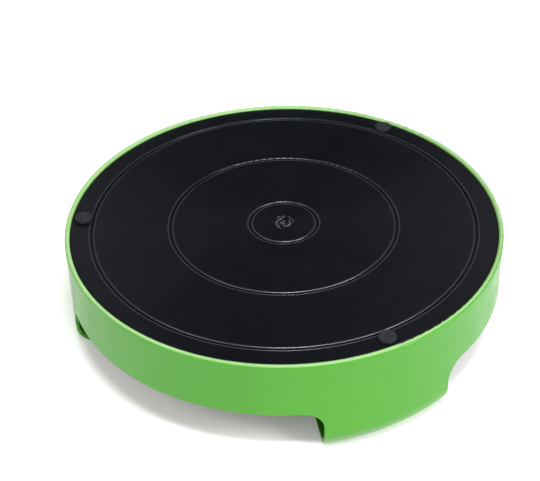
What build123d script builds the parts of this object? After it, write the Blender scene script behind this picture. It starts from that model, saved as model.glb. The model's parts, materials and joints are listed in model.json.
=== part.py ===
from build123d import *
import os
from math import cos, radians, sin

# Low hand-turned pottery wheel: a black head that spins inside a green three-legged base.
# Millimetres, +Z up, origin on the floor under the centre of the wheel. One leg faces -Y.

# Overall sizes
rim_radius = 127.0
overall_height = 66.0

# Legs, evenly spaced, and the grip pads that stand above them
leg_angles = {"front": -90.0, "right": 30.0, "left": 150.0}
leg_half_angle = 17.9

# Base shell
rim_top = 65.0
wall_radius = 126.6
wall_inner = 124.7
rim_flare_low = 50.8
rim_flare_high = 60.8
rim_inner = 124.2
rim_round = 1.2
window_top = 30.3
window_corner = 12.0
window_edge = 0.3
sole_bottom = 0.5
sole_thickness = 2.3
sole_inner = 92.0
leg_bend = 14.0
shell_thickness = wall_radius - wall_inner

# Screw pillars inside each leg
pillar_circle = 107.0
pillar_offset = 10.0
pillar_radius = 4.6
pilot_radius = 1.6
gusset_thickness = 2.0
gusset_top = 28.3

# Bearing deck
deck_bottom = 33.8
deck_top = 36.8
deck_radius = 123.4
deck_rib_bottom = 29.2
deck_rib_width = 2.2
deck_ring_radii = (60.0, 117.0)
deck_rib_count = 12
boss_radius = 16.0
boss_bottom = 18.8
boss_top = 39.8

# Ball bearing
ball_radius = 3.175
ball_count = 12
ball_circle = 38.0
ball_height = 41.8
raceway_radius = 3.25
race_inner = 31.0
race_outer = 45.0
lower_race_top = 39.8
upper_race_bottom = 43.8
upper_race_top = 46.8
cage_inner = 33.6
cage_outer = 42.4
cage_bottom = 40.8
cage_top = 42.8
cage_hole = 3.35

# Spindle, bush and retainers
spindle_radius = 6.0
spindle_bottom = 13.3
bush_inner = 6.05
bush_radius = 9.0
bush_bottom = 19.8
bush_flange_radius = 12.5
bush_flange_top = 41.2
clip_bottom = 15.8
clip_top = 17.0
clip_groove_radius = 4.9
washer_top = 18.6
washer_radius = 11.0
cap_bottom = 8.8
cap_wall = 2.0
cap_top = 27.8

# Hub flange under the head
flange_top = 50.8
flange_radius = 47.0
flange_boss_radius = 13.0
flange_boss_bottom = 42.3
hub_screw_circle = 27.0
hub_screw_count = 4

# Wheel head
head_top = 63.9
head_plate = 4.0
head_radius = 123.7
head_edge = 0.4
skirt_bottom = 48.3
skirt_thickness = 2.4
head_rib_count = 12
head_rib_width = 2.0
head_rib_bottom = 53.8
head_ring_radius = 80.0
head_boss_radius = 34.0
groove_radii = (19.4, 65.4, 111.1)
groove_half_width = 1.4
groove_depth = 1.2
groove_lip = 0.55
groove_draft = 0.12
mark_radius = 6.0
mark_depth = 0.7
mark_lip = 0.3
nub_radius = 3.3
nub_height = 0.45
nub_hollow_radius = 2.1
nub_hollow_depth = 0.3

# Grip pads and feet
grip_circle = 117.4
grip_radius = 5.0
grip_stem_radius = 2.2
grip_stem_length = 3.0
grip_edge = 0.5
foot_circle = 102.8
foot_radius = 8.5
foot_recess = 1.0
foot_edge = 0.5

# Screws
screw_head_radius = 3.6
screw_head_depth = 2.2
screw_shank_radius = 1.8
screw_recess = 1.3
deck_screw_length = 16.0
hub_screw_length = 11.0


def at_angle(circle, angle, z=0.0):
    """Place on a circle about the wheel's axis."""
    x = circle * cos(radians(angle))
    y = circle * sin(radians(angle))
    return Pos(x, y, z) * Rot(0, 0, angle)


def post(radius, low, high):
    """Upright cylinder between two heights."""
    return Pos(0, 0, (low + high) / 2) * Cylinder(radius, high - low)


def ring(inner, outer, low, high):
    """Flat ring between two heights."""
    return post(outer, low, high) - post(inner, low - 1, high + 1)


def rib(start, end, width, low, high):
    """Radial rib along +X."""
    length = end - start
    return Pos((start + end) / 2, 0, (low + high) / 2) * Box(length, width, high - low)


def pillar_angles():
    """The six angles of the screw pillars, two in each leg."""
    angles = []
    for angle in leg_angles.values():
        angles.append(angle - pillar_offset)
        angles.append(angle + pillar_offset)
    return angles


def shell_wall():
    """Rim, wall, leg bend and sole, swept all the way round."""
    bend_z = sole_bottom + leg_bend
    bend_r = wall_radius - leg_bend
    inner_bend = leg_bend - shell_thickness
    sole_top = sole_bottom + sole_thickness
    inner_r = wall_inner - inner_bend
    with BuildPart() as shell:
        with BuildSketch(Plane.XZ):
            with BuildLine():
                Line((sole_inner, sole_bottom), (bend_r, sole_bottom))
                RadiusArc((bend_r, sole_bottom), (wall_radius, bend_z), -leg_bend)
                Line((wall_radius, bend_z), (wall_radius, rim_flare_low))
                Line((wall_radius, rim_flare_low), (rim_radius, rim_flare_high))
                Line((rim_radius, rim_flare_high), (rim_radius, rim_top - rim_round))
                RadiusArc((rim_radius, rim_top - rim_round), (rim_radius - rim_round, rim_top), -rim_round)
                Line((rim_radius - rim_round, rim_top), (rim_inner + rim_round, rim_top))
                RadiusArc((rim_inner + rim_round, rim_top), (rim_inner, rim_top - rim_round), -rim_round)
                Line((rim_inner, rim_top - rim_round), (rim_inner, rim_flare_high))
                Line((rim_inner, rim_flare_high), (wall_inner, rim_flare_low))
                Line((wall_inner, rim_flare_low), (wall_inner, sole_top + inner_bend))
                RadiusArc((wall_inner, sole_top + inner_bend), (inner_r, sole_top), inner_bend)
                Line((inner_r, sole_top), (sole_inner, sole_top))
                Line((sole_inner, sole_top), (sole_inner, sole_bottom))
            make_face()
        revolve(axis=Axis.Z)
    return shell.part


def window_cutter():
    """Opening between two legs: a sector with rounded upper corners, centred on +X."""
    half = 60.0 - leg_half_angle
    low = -1.0
    sector = Pos(0, 0, low) * extrude(sector_face(140.0, half), window_top - low)
    sector -= post(80.0, low - 1, window_top + 1)
    corners = [edge for edge in sector.edges().filter_by(GeomType.LINE) if is_upper_side_edge(edge)]
    return fillet(corners, window_corner)


def sector_face(radius, half):
    """Flat pie slice centred on +X."""
    start = (radius * cos(radians(half)), -radius * sin(radians(half)))
    end = (start[0], -start[1])
    with BuildSketch() as slice_sketch:
        with BuildLine():
            Line((0, 0), start)
            ThreePointArc(start, (radius, 0), end)
            Line(end, (0, 0))
        make_face()
    return slice_sketch.sketch


def is_upper_side_edge(edge):
    """True for the straight radial edges at the top of a window."""
    centre = edge.center()
    return abs(centre.Z - window_top) < 0.01 and edge.length > 10


def is_window_face(face):
    """True for the faces that the windows leave on the shell."""
    centre = face.center()
    if face.geom_type == GeomType.CYLINDER:
        return abs(face.radius - window_corner) < 0.05
    if face.geom_type != GeomType.PLANE:
        return False
    leg_end = abs(face.normal_at().Z) < 0.01
    return leg_end or abs(centre.Z - window_top) < 0.05


def edge_key(edge):
    """Rounded place and length of an edge, the same for both faces that share it."""
    centre = edge.center()
    return (round(centre.X, 2), round(centre.Y, 2), round(centre.Z, 2), round(edge.length, 2))


def round_window_edges(shell):
    """Soften the long edges round each window, where they meet the wall and the sole."""
    found = {}
    for face in shell.faces():
        if is_window_face(face):
            for edge in face.edges():
                found.setdefault(edge_key(edge), []).append(edge)
    outer = [edges[0] for edges in found.values() if len(edges) == 1]
    return fillet(outer, window_edge)


def base_shell():
    """Green moulded shell standing on three legs."""
    shell = shell_wall()
    for angle in leg_angles.values():
        shell -= Rot(0, 0, angle + 60) * window_cutter()
    shell = round_window_edges(shell)
    envelope = shell_envelope()
    gusset = rib(pillar_circle, wall_inner + 0.5, gusset_thickness, sole_bottom + 1, gusset_top) & envelope
    for angle in pillar_angles():
        shell += Rot(0, 0, angle) * gusset
        shell += at_angle(pillar_circle, angle) * post(pillar_radius, sole_bottom + 1, deck_bottom)
    for angle in pillar_angles():
        shell -= at_angle(pillar_circle, angle) * post(pilot_radius, 8, deck_bottom + 1)
    for angle in leg_angles.values():
        shell -= at_angle(foot_circle, angle) * post(foot_radius, 0, sole_bottom + foot_recess)
    return shell


def shell_envelope():
    """Solid filling the shell's outer shape, used to trim the gussets to the leg bend."""
    body = post(wall_radius - 0.6, sole_bottom, deck_top)
    low_edge = body.edges().filter_by(GeomType.CIRCLE).sort_by(Axis.Z)[0]
    return fillet(low_edge, leg_bend)


def bearing_deck():
    """Ribbed plate that carries the bearing and the hub boss."""
    deck = post(deck_radius, deck_bottom, deck_top)
    deck += post(boss_radius, boss_bottom, boss_top)
    half_width = deck_rib_width / 2
    for radius in deck_ring_radii:
        deck += ring(radius - half_width, radius + half_width, deck_rib_bottom, deck_bottom + 1)
    pitch = 360.0 / deck_rib_count
    for index in range(deck_rib_count):
        web = rib(boss_radius - 2, deck_ring_radii[1], deck_rib_width, deck_rib_bottom, deck_bottom + 1)
        deck += Rot(0, 0, index * pitch) * web
    for angle in pillar_angles():
        deck -= at_angle(pillar_circle, angle) * post(pillar_radius + 0.4, deck_rib_bottom - 1, deck_bottom)
        deck -= at_angle(pillar_circle, angle) * screw_seat(deck_top)
    deck -= post(bush_radius, boss_bottom - 1, boss_top + 1)
    deck -= ring(race_inner - 0.1, race_outer + 0.1, deck_top - 0.5, deck_top + 1)
    return deck


def screw_seat(top):
    """Countersunk clearance hole opening upwards."""
    seat = Pos(0, 0, top - screw_head_depth / 2)
    seat *= Cone(screw_shank_radius + 0.2, screw_head_radius + 0.2, screw_head_depth)
    return seat + post(screw_shank_radius + 0.2, top - 12, top - screw_head_depth + 0.1)


def screw(length):
    """Countersunk cross-head screw, head upwards with its top at z = 0."""
    body = Pos(0, 0, -screw_head_depth / 2) * Cone(screw_shank_radius, screw_head_radius, screw_head_depth)
    body += post(screw_shank_radius, 1.5 - length, -screw_head_depth)
    body += Pos(0, 0, 0.75 - length) * Cone(0.4, screw_shank_radius, 1.5)
    for turn in (0, 90):
        body -= Rot(0, 0, turn) * Box(3.8, 0.9, 2 * screw_recess)
    return body


def deck_screws():
    """Six screws that hold the deck on the shell's pillars."""
    return Compound(children=[
        at_angle(pillar_circle, angle, deck_top - 0.1) * screw(deck_screw_length)
        for angle in pillar_angles()
    ])


def spindle_bush():
    """Flanged bronze bush pressed into the hub boss."""
    bush = post(bush_radius, bush_bottom, boss_top) + post(bush_flange_radius, boss_top, bush_flange_top)
    return bush - post(bush_inner, bush_bottom - 1, bush_flange_top + 1)


def raceway():
    """Ring of round section that the balls run in."""
    return Pos(0, 0, ball_height) * Torus(ball_circle, raceway_radius)


def lower_race():
    """Lower ball race, seated in the deck."""
    return ring(race_inner, race_outer, deck_top - 0.5, lower_race_top) - raceway()


def upper_race():
    """Upper ball race, seated under the hub flange."""
    return ring(race_inner, race_outer, upper_race_bottom, upper_race_top + 0.5) - raceway()


def ball_cage():
    """Flat ring with a pocket for each ball."""
    cage = ring(cage_inner, cage_outer, cage_bottom, cage_top)
    for index in range(ball_count):
        angle = index * 360.0 / ball_count
        cage -= at_angle(ball_circle, angle) * post(cage_hole, cage_bottom - 1, cage_top + 1)
    return cage


def bearing_balls():
    """Twelve steel balls."""
    return Compound(children=[
        at_angle(ball_circle, index * 360.0 / ball_count, ball_height) * Sphere(ball_radius)
        for index in range(ball_count)
    ])


def hub_cap():
    """Cup pushed over the hub boss from below."""
    cap = post(boss_radius + cap_wall, cap_bottom, cap_top)
    low_edge = cap.edges().filter_by(GeomType.CIRCLE).sort_by(Axis.Z)[0]
    cap = fillet(low_edge, 1.5)
    return cap - post(boss_radius, cap_bottom + cap_wall, cap_top + 1)


def foot_pad(angle):
    """Round rubber foot glued in the sole."""
    pad = post(foot_radius, 0, sole_bottom + foot_recess)
    low_edge = pad.edges().filter_by(GeomType.CIRCLE).sort_by(Axis.Z)[0]
    return at_angle(foot_circle, angle) * fillet(low_edge, foot_edge)


def hub_flange():
    """Turned flange that carries the spindle and the upper race."""
    flange = post(flange_radius, upper_race_top, flange_top)
    flange += post(flange_boss_radius, flange_boss_bottom, flange_top)
    flange -= ring(race_inner - 0.1, race_outer + 0.1, upper_race_top - 1, upper_race_top + 0.5)
    flange -= post(spindle_radius, flange_boss_bottom - 1, flange_top + 1)
    for index in range(hub_screw_count):
        seat = Rot(180, 0, 0) * screw_seat(-upper_race_top)
        flange -= at_angle(hub_screw_circle, 45 + index * 360.0 / hub_screw_count) * seat
    return flange


def hub_screws():
    """Four screws driven up through the flange into the head."""
    return Compound(children=[
        at_angle(hub_screw_circle, 45 + index * 360.0 / hub_screw_count, upper_race_top + 0.1)
        * Rot(180, 0, 0) * screw(hub_screw_length)
        for index in range(hub_screw_count)
    ])


def spindle():
    """Ground steel spindle, pressed in the flange, grooved for the clip."""
    shaft = post(spindle_radius, spindle_bottom, flange_top)
    low_edge = shaft.edges().filter_by(GeomType.CIRCLE).sort_by(Axis.Z)[0]
    shaft = chamfer(low_edge, 0.8)
    return shaft - ring(clip_groove_radius, spindle_radius + 1, clip_bottom, clip_top)


def thrust_washer():
    """Washer between the hub boss and the clip."""
    return ring(spindle_radius + 0.02, washer_radius, clip_top + 0.02, washer_top)


def retaining_clip():
    """Open clip snapped in the spindle's groove."""
    clip = ring(clip_groove_radius + 0.02, 9.0, clip_bottom + 0.02, clip_top)
    return clip - Pos(8, 0, clip_bottom) * Box(10, 5.2, 6)


def groove_profile():
    """Flat-bottomed groove section with rounded lips, centred on the surface."""
    half = groove_half_width
    wall = half - groove_lip
    floor = wall - groove_draft
    with BuildSketch(Plane.XZ) as section:
        with BuildLine():
            RadiusArc((-half, 0), (-wall, -groove_lip), groove_lip)
            Line((-wall, -groove_lip), (-floor, -groove_depth))
            Line((-floor, -groove_depth), (floor, -groove_depth))
            Line((floor, -groove_depth), (wall, -groove_lip))
            RadiusArc((wall, -groove_lip), (half, 0), groove_lip)
            Line((half, 0), (half, 0.5))
            Line((half, 0.5), (-half, 0.5))
            Line((-half, 0.5), (-half, 0))
        make_face()
    return section.sketch


def centre_mark():
    """Round dimple with a soft edge, cut at the head's axis."""
    floor = head_top - mark_depth
    dimple = post(mark_radius, floor, head_top)
    mouth = Pos(0, 0, head_top - mark_lip / 2) * Cone(mark_radius, mark_radius + mark_lip, mark_lip)
    return dimple + mouth


def centre_nub():
    """Cupped nub left in the floor of the centre mark."""
    floor = head_top - mark_depth
    nub = post(nub_radius, floor - 0.5, floor + nub_height)
    top_edge = nub.edges().filter_by(GeomType.CIRCLE).sort_by(Axis.Z)[-1]
    nub = fillet(top_edge, nub_height / 2)
    return nub - post(nub_hollow_radius, floor + nub_height - nub_hollow_depth, head_top)


def wheel_head():
    """Black disc with three grooves and the centre mark, ribbed underneath."""
    plate_bottom = head_top - head_plate
    head = post(head_radius, plate_bottom, head_top)
    top_edge = head.edges().filter_by(GeomType.CIRCLE).sort_by(Axis.Z)[-1]
    head = fillet(top_edge, head_edge)
    head += ring(head_radius - skirt_thickness, head_radius, skirt_bottom, plate_bottom + 1)
    head += ring(head_ring_radius - 1, head_ring_radius + 1, head_rib_bottom, plate_bottom + 1)
    head += post(head_boss_radius, flange_top, plate_bottom + 1)
    for index in range(head_rib_count):
        web = rib(head_boss_radius - 2, head_radius - 1, head_rib_width, head_rib_bottom, plate_bottom + 1)
        head += Rot(0, 0, index * 360.0 / head_rib_count) * web
    socket_radius = grip_stem_radius + 2.4
    hole_low = head_top - grip_stem_length
    for angle in leg_angles.values():
        head += at_angle(grip_circle - 0.5, angle) * post(socket_radius, head_rib_bottom, plate_bottom + 1)
        head -= at_angle(grip_circle, angle) * post(grip_stem_radius, hole_low, head_top + 1)
    for radius in groove_radii:
        head -= revolve(Pos(radius, 0, head_top) * groove_profile(), axis=Axis.Z)
    head -= post(spindle_radius + 0.4, flange_top - 1, flange_top + 1.5)
    for index in range(hub_screw_count):
        spot = at_angle(hub_screw_circle, 45 + index * 360.0 / hub_screw_count)
        head -= spot * post(pilot_radius, flange_top - 1, flange_top + 8)
    return head - centre_mark() + centre_nub()


def grip_pad(angle):
    """Rubber pad whose stem is pushed into the head."""
    pad = post(grip_radius, head_top, overall_height)
    top_edge = pad.edges().filter_by(GeomType.CIRCLE).sort_by(Axis.Z)[-1]
    pad = fillet(top_edge, grip_edge)
    pad += post(grip_stem_radius, head_top - grip_stem_length, head_top + 0.5)
    return at_angle(grip_circle, angle) * pad


def make_parts():
    """Every node of the wheel by name."""
    parts = {
        "base_shell": base_shell(),
        "bearing_deck": bearing_deck(),
        "deck_screws": deck_screws(),
        "spindle_bush": spindle_bush(),
        "lower_race": lower_race(),
        "hub_cap": hub_cap(),
        "wheel_head": wheel_head(),
        "hub_flange": hub_flange(),
        "hub_screws": hub_screws(),
        "upper_race": upper_race(),
        "spindle": spindle(),
        "thrust_washer": thrust_washer(),
        "retaining_clip": retaining_clip(),
        "ball_cage": ball_cage(),
        "bearing_balls": bearing_balls(),
    }
    for side, angle in leg_angles.items():
        parts["foot_pad_" + side] = foot_pad(angle)
        parts["grip_pad_" + side] = grip_pad(angle)
    return parts


os.makedirs("parts", exist_ok=True)
for name, shape in make_parts().items():
    export_step(shape, "parts/" + name + ".step")
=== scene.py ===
import bmesh
import bpy
import json
from math import cos, pi, radians, sin
from mathutils import Matrix, Vector, noise


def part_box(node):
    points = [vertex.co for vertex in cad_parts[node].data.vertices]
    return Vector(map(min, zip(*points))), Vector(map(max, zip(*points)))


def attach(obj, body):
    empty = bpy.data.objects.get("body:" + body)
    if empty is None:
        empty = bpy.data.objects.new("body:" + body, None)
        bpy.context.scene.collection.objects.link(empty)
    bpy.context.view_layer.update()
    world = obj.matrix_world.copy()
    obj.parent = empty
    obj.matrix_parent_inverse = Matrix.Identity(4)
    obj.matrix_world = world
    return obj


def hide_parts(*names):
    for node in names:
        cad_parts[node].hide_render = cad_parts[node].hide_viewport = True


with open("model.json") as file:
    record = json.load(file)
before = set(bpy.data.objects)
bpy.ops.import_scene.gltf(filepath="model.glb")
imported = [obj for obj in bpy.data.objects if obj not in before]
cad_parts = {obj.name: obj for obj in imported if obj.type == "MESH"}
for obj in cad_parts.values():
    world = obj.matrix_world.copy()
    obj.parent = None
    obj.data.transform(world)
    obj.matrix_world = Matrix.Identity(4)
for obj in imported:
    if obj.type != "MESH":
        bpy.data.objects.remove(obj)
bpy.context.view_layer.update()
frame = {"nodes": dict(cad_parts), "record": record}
nodes = frame["nodes"]

# Azimuth of the camera's side of the wheel, in degrees
CAMERA_SIDE = -117


# Node materials

class Shader:
    """A new material with a Principled shader and short calls for its node tree."""

    def __init__(self, name):
        self.material = bpy.data.materials.new(name)
        self.material.use_nodes = True
        self.tree = self.material.node_tree
        self.bsdf = self.tree.nodes["Principled BSDF"]
        self.object_place = self.tree.nodes.new("ShaderNodeTexCoord").outputs["Object"]

    def node(self, kind, **inputs):
        made = self.tree.nodes.new(kind)
        for name, value in inputs.items():
            self.feed(made.inputs[name.replace("_", " ")], value)
        return made

    def feed(self, socket, value):
        if isinstance(value, bpy.types.NodeSocket):
            self.tree.links.new(value, socket)
        else:
            socket.default_value = value

    def set(self, **inputs):
        for name, value in inputs.items():
            self.feed(self.bsdf.inputs[name.replace("_", " ")], value)

    def noise(self, scale, detail=2.0, roughness=0.5, place=None):
        made = self.node("ShaderNodeTexNoise", Scale=scale, Detail=detail, Roughness=roughness)
        self.feed(made.inputs["Vector"], place or self.object_place)
        return made.outputs["Fac"]

    def stretched(self, x, y, z):
        """The place, scaled along each axis."""
        made = self.node("ShaderNodeMapping", Vector=self.object_place)
        made.inputs["Scale"].default_value = (x, y, z)
        return made.outputs["Vector"]

    def reach(self):
        """Distance from the wheel's axis."""
        made = self.tree.nodes.new("ShaderNodeVectorMath")
        made.operation = "LENGTH"
        self.feed(made.inputs[0], self.stretched(1.0, 1.0, 0.0))
        return made.outputs["Value"]

    def map_range(self, value, low, high, from_low=0.3, from_high=0.7):
        made = self.node("ShaderNodeMapRange", Value=value)
        made.inputs["From Min"].default_value = from_low
        made.inputs["From Max"].default_value = from_high
        made.inputs["To Min"].default_value = low
        made.inputs["To Max"].default_value = high
        return made.outputs["Result"]

    def mix(self, factor, first, second):
        """Blend of two colours. A Mix node's colour sockets come after its number and vector ones."""
        made = self.tree.nodes.new("ShaderNodeMix")
        made.data_type = "RGBA"
        self.feed(made.inputs[0], factor)
        self.feed(made.inputs[6], first)
        self.feed(made.inputs[7], second)
        return made.outputs[2]

    def math(self, kind, first, second=0.0):
        made = self.tree.nodes.new("ShaderNodeMath")
        made.operation = kind
        self.feed(made.inputs[0], first)
        self.feed(made.inputs[1], second)
        return made.outputs[0]

    def bump(self, height, distance, strength=1.0, normal=None):
        made = self.node("ShaderNodeBump", Height=height, Distance=distance, Strength=strength)
        if normal:
            self.feed(made.inputs["Normal"], normal)
        return made.outputs["Normal"]


def rgb(red, green, blue):
    return (red, green, blue, 1.0)


def moulded_plastic(name, colour, shade, rough_low, rough_high, grain=0.00002, grain_scale=1400.0):
    """Moulded plastic: faint cloudy colour, uneven gloss, a fine grain and a slight waviness."""
    shader = Shader(name)
    clouds = shader.map_range(shader.noise(18.0, 3.0), 0.0, 1.0)
    shader.set(Base_Color=shader.mix(clouds, rgb(*colour), rgb(*shade)))
    shader.set(Roughness=shader.map_range(shader.noise(70.0, 4.0, 0.65), rough_low, rough_high))
    fine = shader.bump(shader.noise(grain_scale, 2.0), grain)
    wave_height, wave_strength = 0.00012, 0.5
    shader.set(Normal=shader.bump(shader.noise(26.0, 1.0), wave_height, wave_strength, fine))
    return shader


def green_plastic():
    """Green moulding with a painted highlight: the top of the rim is painted a paler green, and made
    rougher.
    """
    shader = moulded_plastic("green_plastic", (0.045, 0.232, 0.0085), (0.041, 0.220, 0.0076), 0.28, 0.40)
    # Mask of the painted highlight along the top of the rim, made patchy by noise
    rim_reach, highlight_slope = 0.1256, 0.5
    highlight_start_height, highlight_full_height = 0.0637, 0.0648
    added_roughness = 0.35
    clouds = shader.bsdf.inputs["Base Color"].links[0].from_socket
    height = shader.node("ShaderNodeSeparateXYZ", Vector=shader.object_place).outputs["Z"]
    lean = shader.math("MULTIPLY", shader.math("SUBTRACT", shader.reach(), rim_reach), highlight_slope)
    rim_highlight_ramp = shader.map_range(shader.math("SUBTRACT", height, lean), 0.0, 1.0, highlight_start_height, highlight_full_height)
    painted_rim_highlight = shader.math("MULTIPLY", rim_highlight_ramp, shader.map_range(shader.noise(60.0, 3.0), 0.8, 1.0))
    # Painted highlight: the rim's top is mixed towards this pale green
    shader.set(Base_Color=shader.mix(painted_rim_highlight, clouds, rgb(0.23, 0.39, 0.16)))
    gloss = shader.bsdf.inputs["Roughness"].links[0].from_socket
    # The same painted-highlight mask also makes the rim's top rougher
    shader.set(Roughness=shader.math("ADD", gloss, shader.math("MULTIPLY", painted_rim_highlight, added_roughness)))
    shader.set(Specular_IOR_Level=0.36)
    return shader.material


def black_plastic():
    """Satin black with fine turned rings that spread the gloss, faint clouds and a scuffed edge."""
    shader = Shader("black_plastic")
    clouds = shader.map_range(shader.noise(30.0, 5.0, 0.6), 0.0, 1.0)
    shader.set(Base_Color=shader.mix(clouds, rgb(0.0014, 0.0017, 0.0024), rgb(0.0020, 0.0024, 0.0034)))
    edge_start, edge_end, edge_roughness = 0.1230, 0.1233, 0.45
    scuffed_edge = shader.map_range(shader.reach(), 0.0, edge_roughness, edge_start, edge_end)
    gloss = shader.map_range(shader.noise(55.0, 5.0, 0.7), 0.24, 0.30)
    shader.set(Roughness=shader.math("ADD", gloss, scuffed_edge))
    fine = shader.bump(shader.noise(1800.0, 2.0), 0.00001)
    shader.set(Normal=shader.bump(shader.noise(20.0, 1.0), 0.0001, 0.25, fine))
    rings = shader.tree.nodes.new("ShaderNodeTangent")
    rings.direction_type = "RADIAL"
    rings.axis = "Z"
    shader.set(Anisotropic=0.65, Anisotropic_Rotation=0.25, Tangent=rings.outputs["Tangent"])
    shader.set(Specular_IOR_Level=0.33, Specular_Tint=rgb(0.77, 0.86, 1.0))
    return shader.material


def rubber(name, colour, dust):
    """Matte rubber, grainy and slightly dusty."""
    shader = Shader(name)
    specks = shader.map_range(shader.noise(900.0, 4.0, 0.7), 0.0, 1.0, 0.4, 0.7)
    shader.set(Base_Color=shader.mix(specks, rgb(*colour), rgb(*dust)))
    shader.set(Roughness=shader.map_range(shader.noise(400.0, 3.0), 0.72, 0.92))
    shader.set(Normal=shader.bump(shader.noise(1600.0, 3.0, 0.7), 0.00008))
    shader.set(Specular_IOR_Level=0.24)
    return shader.material


def metal(name, colour, tint, rough_low, rough_high):
    """Machined metal with tool marks round its axis and uneven gloss."""
    shader = Shader(name)
    clouds = shader.map_range(shader.noise(40.0, 4.0), 0.0, 1.0)
    shader.set(Base_Color=shader.mix(clouds, rgb(*colour), rgb(*tint)))
    marks = shader.noise(300.0, 3.0, 0.6, shader.stretched(1.0, 1.0, 30.0))
    shader.set(Roughness=shader.map_range(marks, rough_low, rough_high))
    shader.set(Normal=shader.bump(marks, 0.00001))
    shader.set(Metallic=1.0)
    return shader.material


def torn_plastic():
    """Black plastic where the gate broke off: paler, rougher and unpolished."""
    shader = Shader("torn_plastic")
    pale = shader.map_range(shader.noise(900.0, 3.0, 0.6), 0.0, 1.0)
    shader.set(Base_Color=shader.mix(pale, rgb(0.020, 0.023, 0.031), rgb(0.052, 0.057, 0.074)))
    shader.set(Roughness=shader.map_range(shader.noise(700.0, 3.0), 0.24, 0.42))
    shader.set(Normal=shader.bump(shader.noise(1500.0, 3.0), 0.00004))
    return shader.material


def burnished_plastic():
    """Black plastic polished by rubbing, on the grooves' proud lips."""
    shader = Shader("burnished_plastic")
    clouds = shader.map_range(shader.noise(30.0, 5.0, 0.6), 0.0, 1.0)
    shader.set(Base_Color=shader.mix(clouds, rgb(0.0018, 0.0022, 0.0028), rgb(0.0028, 0.0034, 0.0042)))
    shader.set(Roughness=shader.map_range(shader.noise(60.0, 2.0, 0.5), 0.29, 0.35))
    shader.set(Normal=shader.bump(shader.noise(40.0, 1.0), 0.00002))
    shader.set(Specular_IOR_Level=0.85, Specular_Tint=rgb(0.84, 0.91, 1.0))
    return shader.material


def nylon():
    """Off-white nylon of the ball cage."""
    shader = moulded_plastic("nylon", (0.72, 0.70, 0.62), (0.66, 0.64, 0.56), 0.45, 0.6)
    return shader.material


def deck_plastic():
    """Dark grey moulding with a coarser grain."""
    colour, shade = (0.016, 0.017, 0.018), (0.022, 0.023, 0.024)
    shader = moulded_plastic("deck_plastic", colour, shade, 0.48, 0.62, grain=0.00003, grain_scale=1100.0)
    return shader.material


MATERIALS = {
    "green_plastic": green_plastic(),
    "black_plastic": black_plastic(),
    "torn_plastic": torn_plastic(),
    "burnished_plastic": burnished_plastic(),
    "deck_plastic": deck_plastic(),
    "nylon": nylon(),
    "grip_rubber": rubber("grip_rubber", (0.0055, 0.006, 0.0072), (0.0185, 0.020, 0.0245)),
    "foot_rubber": rubber("foot_rubber", (0.022, 0.022, 0.022), (0.035, 0.035, 0.034)),
    "steel": metal("steel", (0.55, 0.56, 0.58), (0.48, 0.49, 0.50), 0.22, 0.34),
    "ball_steel": metal("ball_steel", (0.72, 0.72, 0.74), (0.66, 0.66, 0.68), 0.06, 0.12),
    "zinc_screw": metal("zinc_screw", (0.62, 0.63, 0.62), (0.52, 0.53, 0.52), 0.28, 0.42),
    "bronze": metal("bronze", (0.50, 0.30, 0.12), (0.40, 0.23, 0.09), 0.38, 0.52),
    "flange_aluminium": metal("flange_aluminium", (0.66, 0.67, 0.69), (0.58, 0.59, 0.61), 0.26, 0.4),
}


def dress(obj, slot):
    """Gives a CAD node its material and its slot's name."""
    obj.data.materials.clear()
    obj.data.materials.append(MATERIALS[slot])


for part in frame["record"]["subparts"]:
    dress(nodes[part["node"]], part["material_slot"])


# Pieces with more shape than their solids

# Edges that bend more than this stay sharp, in degrees
SHARP_FROM = 50


def add_piece(name, mesh, material, body):
    """Puts a mesh in the scene as a smooth piece that rides on a body."""
    obj = bpy.data.objects.new(name, mesh)
    bpy.context.scene.collection.objects.link(obj)
    mesh.materials.append(material)
    mesh.shade_smooth()
    mesh.set_sharp_from_angle(angle=radians(SHARP_FROM))
    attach(obj, body)
    return obj


def arc(centre_r, centre_z, radius, start, end, steps):
    """Points of a section's rounded corner, between two angles in degrees."""
    points = []
    for index in range(steps + 1):
        angle = radians(start + (end - start) * index / steps)
        points.append((centre_r + radius * cos(angle), centre_z + radius * sin(angle)))
    return points


def face_outwards(mesh, weld=0.0):
    """Turns the faces outwards, first joining points closer than weld, if it is given."""
    made = bmesh.new()
    made.from_mesh(mesh)
    if weld:
        bmesh.ops.remove_doubles(made, verts=made.verts, dist=weld)
        bmesh.ops.dissolve_degenerate(made, edges=made.edges, dist=weld)
    bmesh.ops.recalc_face_normals(made, faces=made.faces)
    made.to_mesh(mesh)
    made.free()


def lathe(name, centre, profile, segments):
    """Turned mesh from radius and height pairs, which close on themselves or end on the axis."""
    mesh = bpy.data.meshes.new(name)
    vertices = []
    for column in range(segments):
        angle = 2 * pi * column / segments
        for radius, height in profile:
            x, y = centre[0] + radius * cos(angle), centre[1] + radius * sin(angle)
            vertices.append((x, y, height))
    count = len(profile)
    faces = []
    for column in range(segments):
        here, there = column * count, (column + 1) % segments * count
        for row in range(count - 1):
            faces.append((here + row, there + row, there + row + 1, here + row + 1))
    mesh.from_pydata(vertices, [], faces)
    face_outwards(mesh, weld=1e-7)
    return mesh


# Height of the head's flat face
head_top = max(vertex.co.z for vertex in nodes["wheel_head"].data.vertices)


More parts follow.
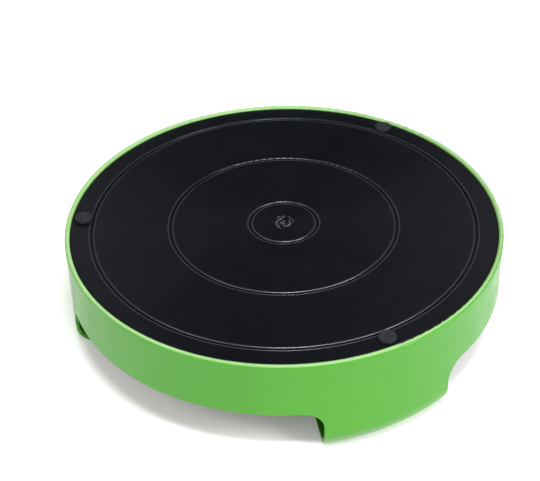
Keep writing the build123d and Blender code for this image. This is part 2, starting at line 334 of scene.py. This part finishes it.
def grip_pad(node):
    """Rubber pad with a rolled edge, a shallow dish on top and its stem below."""
    low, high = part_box(node)
    radius, top, bottom = (high[0] - low[0]) / 2, high[2], low[2]
    centre = ((low[0] + high[0]) / 2, (low[1] + high[1]) / 2)
    edge_round, foot_round, stem = 0.0006, 0.0003, 0.0022
    dish, dish_depth, dish_round, dish_slope = 0.0028, 0.0004, 0.0003, 0.0007
    profile = [(0.0, top - dish_depth), (dish * 0.5, top - dish_depth)]
    profile += arc(dish, top - dish_depth + dish_round, dish_round, 270, 310, 4)
    profile += arc(dish + dish_slope, top - dish_round, dish_round, 130, 90, 4)
    profile += arc(radius - edge_round, top - edge_round, edge_round, 90, 0, 6)
    profile += arc(radius - foot_round, head_top + foot_round, foot_round, 0, -90, 3)
    profile += [(stem, head_top), (stem, bottom), (0.0, bottom)]
    name = node + "_rubber"
    mesh = lathe(name, centre, profile, segments=72)
    piece = add_piece(name, mesh, MATERIALS["grip_rubber"], "wheel")
    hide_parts(node)


for side in ("front", "right", "left"):
    grip_pad("grip_pad_" + side)


def groove_lips(name, middle):
    """A groove's rolled lips: on each side a low bead that rounds over and drops to the floor."""
    crest_reach, crest, flank, round_over, floor_depth = 0.00130, 0.00010, 0.00026, 0.00078, 0.00115
    # The foot lies on the head and reaches past the CAD groove's edge, so no slit is left there
    foot, clearance, foot_depth, root = flank + 0.00030, 0.00001, 0.0003, 0.0002
    flank_steps = 8
    for side, away in (("in", -1.0), ("out", 1.0)):
        profile = [(foot, -foot_depth), (foot, clearance)]
        for step in range(flank_steps + 1):
            across = 1.0 - step / flank_steps
            profile.append((flank * across, crest * (1.0 - across * across) + clearance))
        for angle in range(10, 71, 10):
            drop = round_over * (1.0 - cos(radians(angle)))
            profile.append((-round_over * sin(radians(angle)), crest - drop))
        profile += [(profile[-1][0], -floor_depth), (-root, -floor_depth), profile[0]]
        section = []
        for across, up in profile:
            section.append((middle + away * (crest_reach + across), head_top + up))
        mesh = lathe(name + "_" + side, (0.0, 0.0), section, segments=360)
        add_piece(name + "_" + side, mesh, MATERIALS["burnished_plastic"], "wheel")


for place, middle in (("inner", 0.0196), ("middle", 0.0658), ("outer", 0.1115)):
    groove_lips("groove_lip_" + place, middle)


def uneven(angle, turn, drift):
    """Smooth random value from -1 to 1 that changes round the wheel and with the drift."""
    return noise.noise(Vector((turn * cos(angle), turn * sin(angle), drift)))


def gate_swirl():
    """Ragged ridges round the centre mark, left where the moulding gate broke off."""
    middle = Vector((0.0011, -0.0004, 0.0))
    sunk, crest = head_top - 0.00078, head_top - 0.00020
    half_section = ((-1.0, 0.0), (-0.72, 0.45), (-0.4, 0.85), (0.0, 1.0))
    section = half_section + tuple((-across, up) for across, up in reversed(half_section[:-1]))
    count = len(section)
    wander, end_taper = 0.0004, 7.0
    fewest_steps, degrees_per_step = 24, 4
    # Outer radius, inner radius, start and sweep in degrees from the camera's side, half width
    strokes = (
        (0.0034, 0.0010, 200, 620, 0.00095),
        (0.0061, 0.0051, -10, -165, 0.00062),
        (0.0048, 0.0042, -40, -110, 0.00045),
        (0.0063, 0.0054, 190, -125, 0.00066),
        (0.0050, 0.0045, 160, -70, 0.00040),
    )
    vertices, faces = [], []
    for outer, inner, start, sweep, half_width in strokes:
        steps = max(fewest_steps, abs(sweep) // degrees_per_step)
        first = len(vertices)
        for step in range(steps + 1):
            along = step / steps
            angle = radians(CAMERA_SIDE) + radians(start + sweep * along)
            ragged = uneven(angle, turn=3.0, drift=4.0 * along + outer * 900.0)
            rough = uneven(angle, turn=11.0, drift=9.0 * along + 5.0)
            taper = min(1.0, end_taper * along, end_taper * (1.0 - along))
            radius = outer + (inner - outer) * along + wander * ragged
            width = half_width * (0.8 + 0.5 * rough) * (0.3 + 0.7 * taper)
            height = (crest - sunk) * (0.72 + 0.40 * rough) * (0.15 + 0.85 * taper)
            for across, up in section:
                reach = radius + across * width
                place = Vector((reach * cos(angle), reach * sin(angle), sunk + up * height))
                vertices.append(middle + place)
        for step in range(steps):
            here, there = first + step * count, first + (step + 1) * count
            for row in range(count):
                beside = (row + 1) % count
                faces.append((here + row, there + row, there + beside, here + beside))
        last = first + steps * count
        faces.append(tuple(range(first, first + count)))
        faces.append(tuple(reversed(range(last, last + count))))
    mesh = bpy.data.meshes.new("gate_swirl")
    mesh.from_pydata(vertices, [], faces)
    face_outwards(mesh)
    add_piece("gate_swirl", mesh, MATERIALS["torn_plastic"], "wheel")


gate_swirl()


# Camera

def rolled_camera(place, target, roll, lens):
    """Camera aimed at a target and turned by roll about its line of sight."""
    camera = bpy.data.objects.new("camera", bpy.data.cameras.new("camera"))
    bpy.context.scene.collection.objects.link(camera)
    ahead = (Vector(target) - Vector(place)).normalized()
    level = ahead.cross(Vector((0, 0, 1))).normalized()
    upright = level.cross(ahead)
    right = level * cos(roll) + upright * sin(roll)
    up = upright * cos(roll) - level * sin(roll)
    turn = Matrix((right, up, -ahead)).transposed().to_4x4()
    camera.matrix_world = Matrix.Translation(place) @ turn
    camera.data.lens = lens
    camera.data.sensor_width = 36.0
    camera.data.clip_start = 0.01
    camera.data.clip_end = 20.0
    bpy.context.scene.camera = camera


rolled_camera(
    place=(-0.31429, -0.6155, 0.57352),
    target=(-0.01587, -0.01353, 0.06523),
    roll=radians(-1.368),
    lens=98.34,
)


# Floor and light

def floor():
    """Plain pale floor, whitened by a little light of its own."""
    half = 3
    mesh = bpy.data.meshes.new("floor")
    outline = [(-half, -half, 0), (half, -half, 0), (half, half, 0), (-half, half, 0)]
    mesh.from_pydata(outline, [], [(0, 1, 2, 3)])
    obj = bpy.data.objects.new("floor", mesh)
    bpy.context.scene.collection.objects.link(obj)
    shader = Shader("floor")
    shader.set(Base_Color=rgb(0.80, 0.80, 0.79), Roughness=0.9, Specular_IOR_Level=0.0)
    shader.set(Emission_Color=rgb(1.0, 1.0, 0.90), Emission_Strength=0.14)
    mesh.materials.append(shader.material)


def softbox(name, place, aim, size, power):
    """White rectangular light that faces its aim."""
    light = bpy.data.lights.new(name, "AREA")
    light.shape = "RECTANGLE"
    light.size, light.size_y = size
    light.energy = power
    obj = bpy.data.objects.new(name, light)
    bpy.context.scene.collection.objects.link(obj)
    obj.location = place
    obj.rotation_mode = "QUATERNION"
    obj.rotation_quaternion = (Vector(aim) - Vector(place)).to_track_quat("-Z", "Y")


def around(azimuth, elevation):
    """Place on the lights' sphere round the object, from angles in degrees."""
    distance = 1.6
    turn, rise = radians(azimuth), radians(elevation)
    level = distance * cos(rise)
    return (level * cos(turn), level * sin(turn), distance * sin(rise))


def studio_sky(strength, dim, patches):
    """Even white surround with dim patches behind the object as the camera sees it.

    Each patch is an ellipse, given as its middle's elevation in degrees and the sines of its half
    width and half height. Squared distances from its middle are in those half sizes: the surround
    is dim up to edge_start and at full strength from edge_end.
    """
    world = bpy.data.worlds.new("studio")
    world.use_nodes = True
    tree = world.node_tree
    place = tree.nodes.new("ShaderNodeTexCoord").outputs["Generated"]
    behind = radians(CAMERA_SIDE + 180)
    edge_start, edge_end, far, front_lean = 0.5, 1.8, 9.0, 0.7

    def math(kind, first, second=0.0):
        made = tree.nodes.new("ShaderNodeMath")
        made.operation = kind
        for socket, value in zip(made.inputs, (first, second)):
            if isinstance(value, bpy.types.NodeSocket):
                tree.links.new(value, socket)
            else:
                socket.default_value = value
        return made.outputs[0]

    def along(axis):
        made = tree.nodes.new("ShaderNodeVectorMath")
        made.operation = "DOT_PRODUCT"
        tree.links.new(place, made.inputs[0])
        made.inputs[1].default_value = axis
        return made.outputs["Value"]

    def squared(axis, half_size):
        return math("POWER", math("DIVIDE", math("ABSOLUTE", along(axis)), half_size), 2.0)

    nearest = far
    side = (-sin(behind), cos(behind), 0.0)
    for degrees, half_width, half_height in patches:
        rise = radians(degrees)
        above = (-sin(rise) * cos(behind), -sin(rise) * sin(behind), cos(rise))
        distance = math("ADD", squared(side, half_width), squared(above, half_height))
        nearest = math("MINIMUM", nearest, distance)
    in_front = math("LESS_THAN", along((cos(behind), sin(behind), front_lean)), 0.0)
    edge = tree.nodes.new("ShaderNodeMapRange")
    edge.interpolation_type = "SMOOTHSTEP"
    away = math("ADD", nearest, math("MULTIPLY", in_front, far))
    tree.links.new(away, edge.inputs["Value"])
    edge.inputs["From Min"].default_value = edge_start
    edge.inputs["From Max"].default_value = edge_end
    edge.inputs["To Min"].default_value = dim
    edge.inputs["To Max"].default_value = strength
    tree.links.new(edge.outputs["Result"], tree.nodes["Background"].inputs["Strength"])
    tree.nodes["Background"].inputs["Color"].default_value = rgb(1.0, 1.0, 1.0)
    bpy.context.scene.world = world


floor()
studio_sky(strength=0.64, dim=0.04, patches=((36, 0.13, 0.65), (10, 0.80, 0.28)))
bpy.context.scene.view_settings.view_transform = "Standard"

softbox("key", around(-108, 67), aim=(0, 0, 0), size=(0.50, 0.20), power=23)
softbox("right", around(-60, 38), aim=(0, 0, 0.03), size=(0.6, 0.5), power=19)
softbox("left", around(-177, 40), aim=(0, 0, 0), size=(0.6, 0.5), power=5)
softbox("front", around(CAMERA_SIDE, 45), aim=(0, 0, 0), size=(0.5, 0.4), power=2)
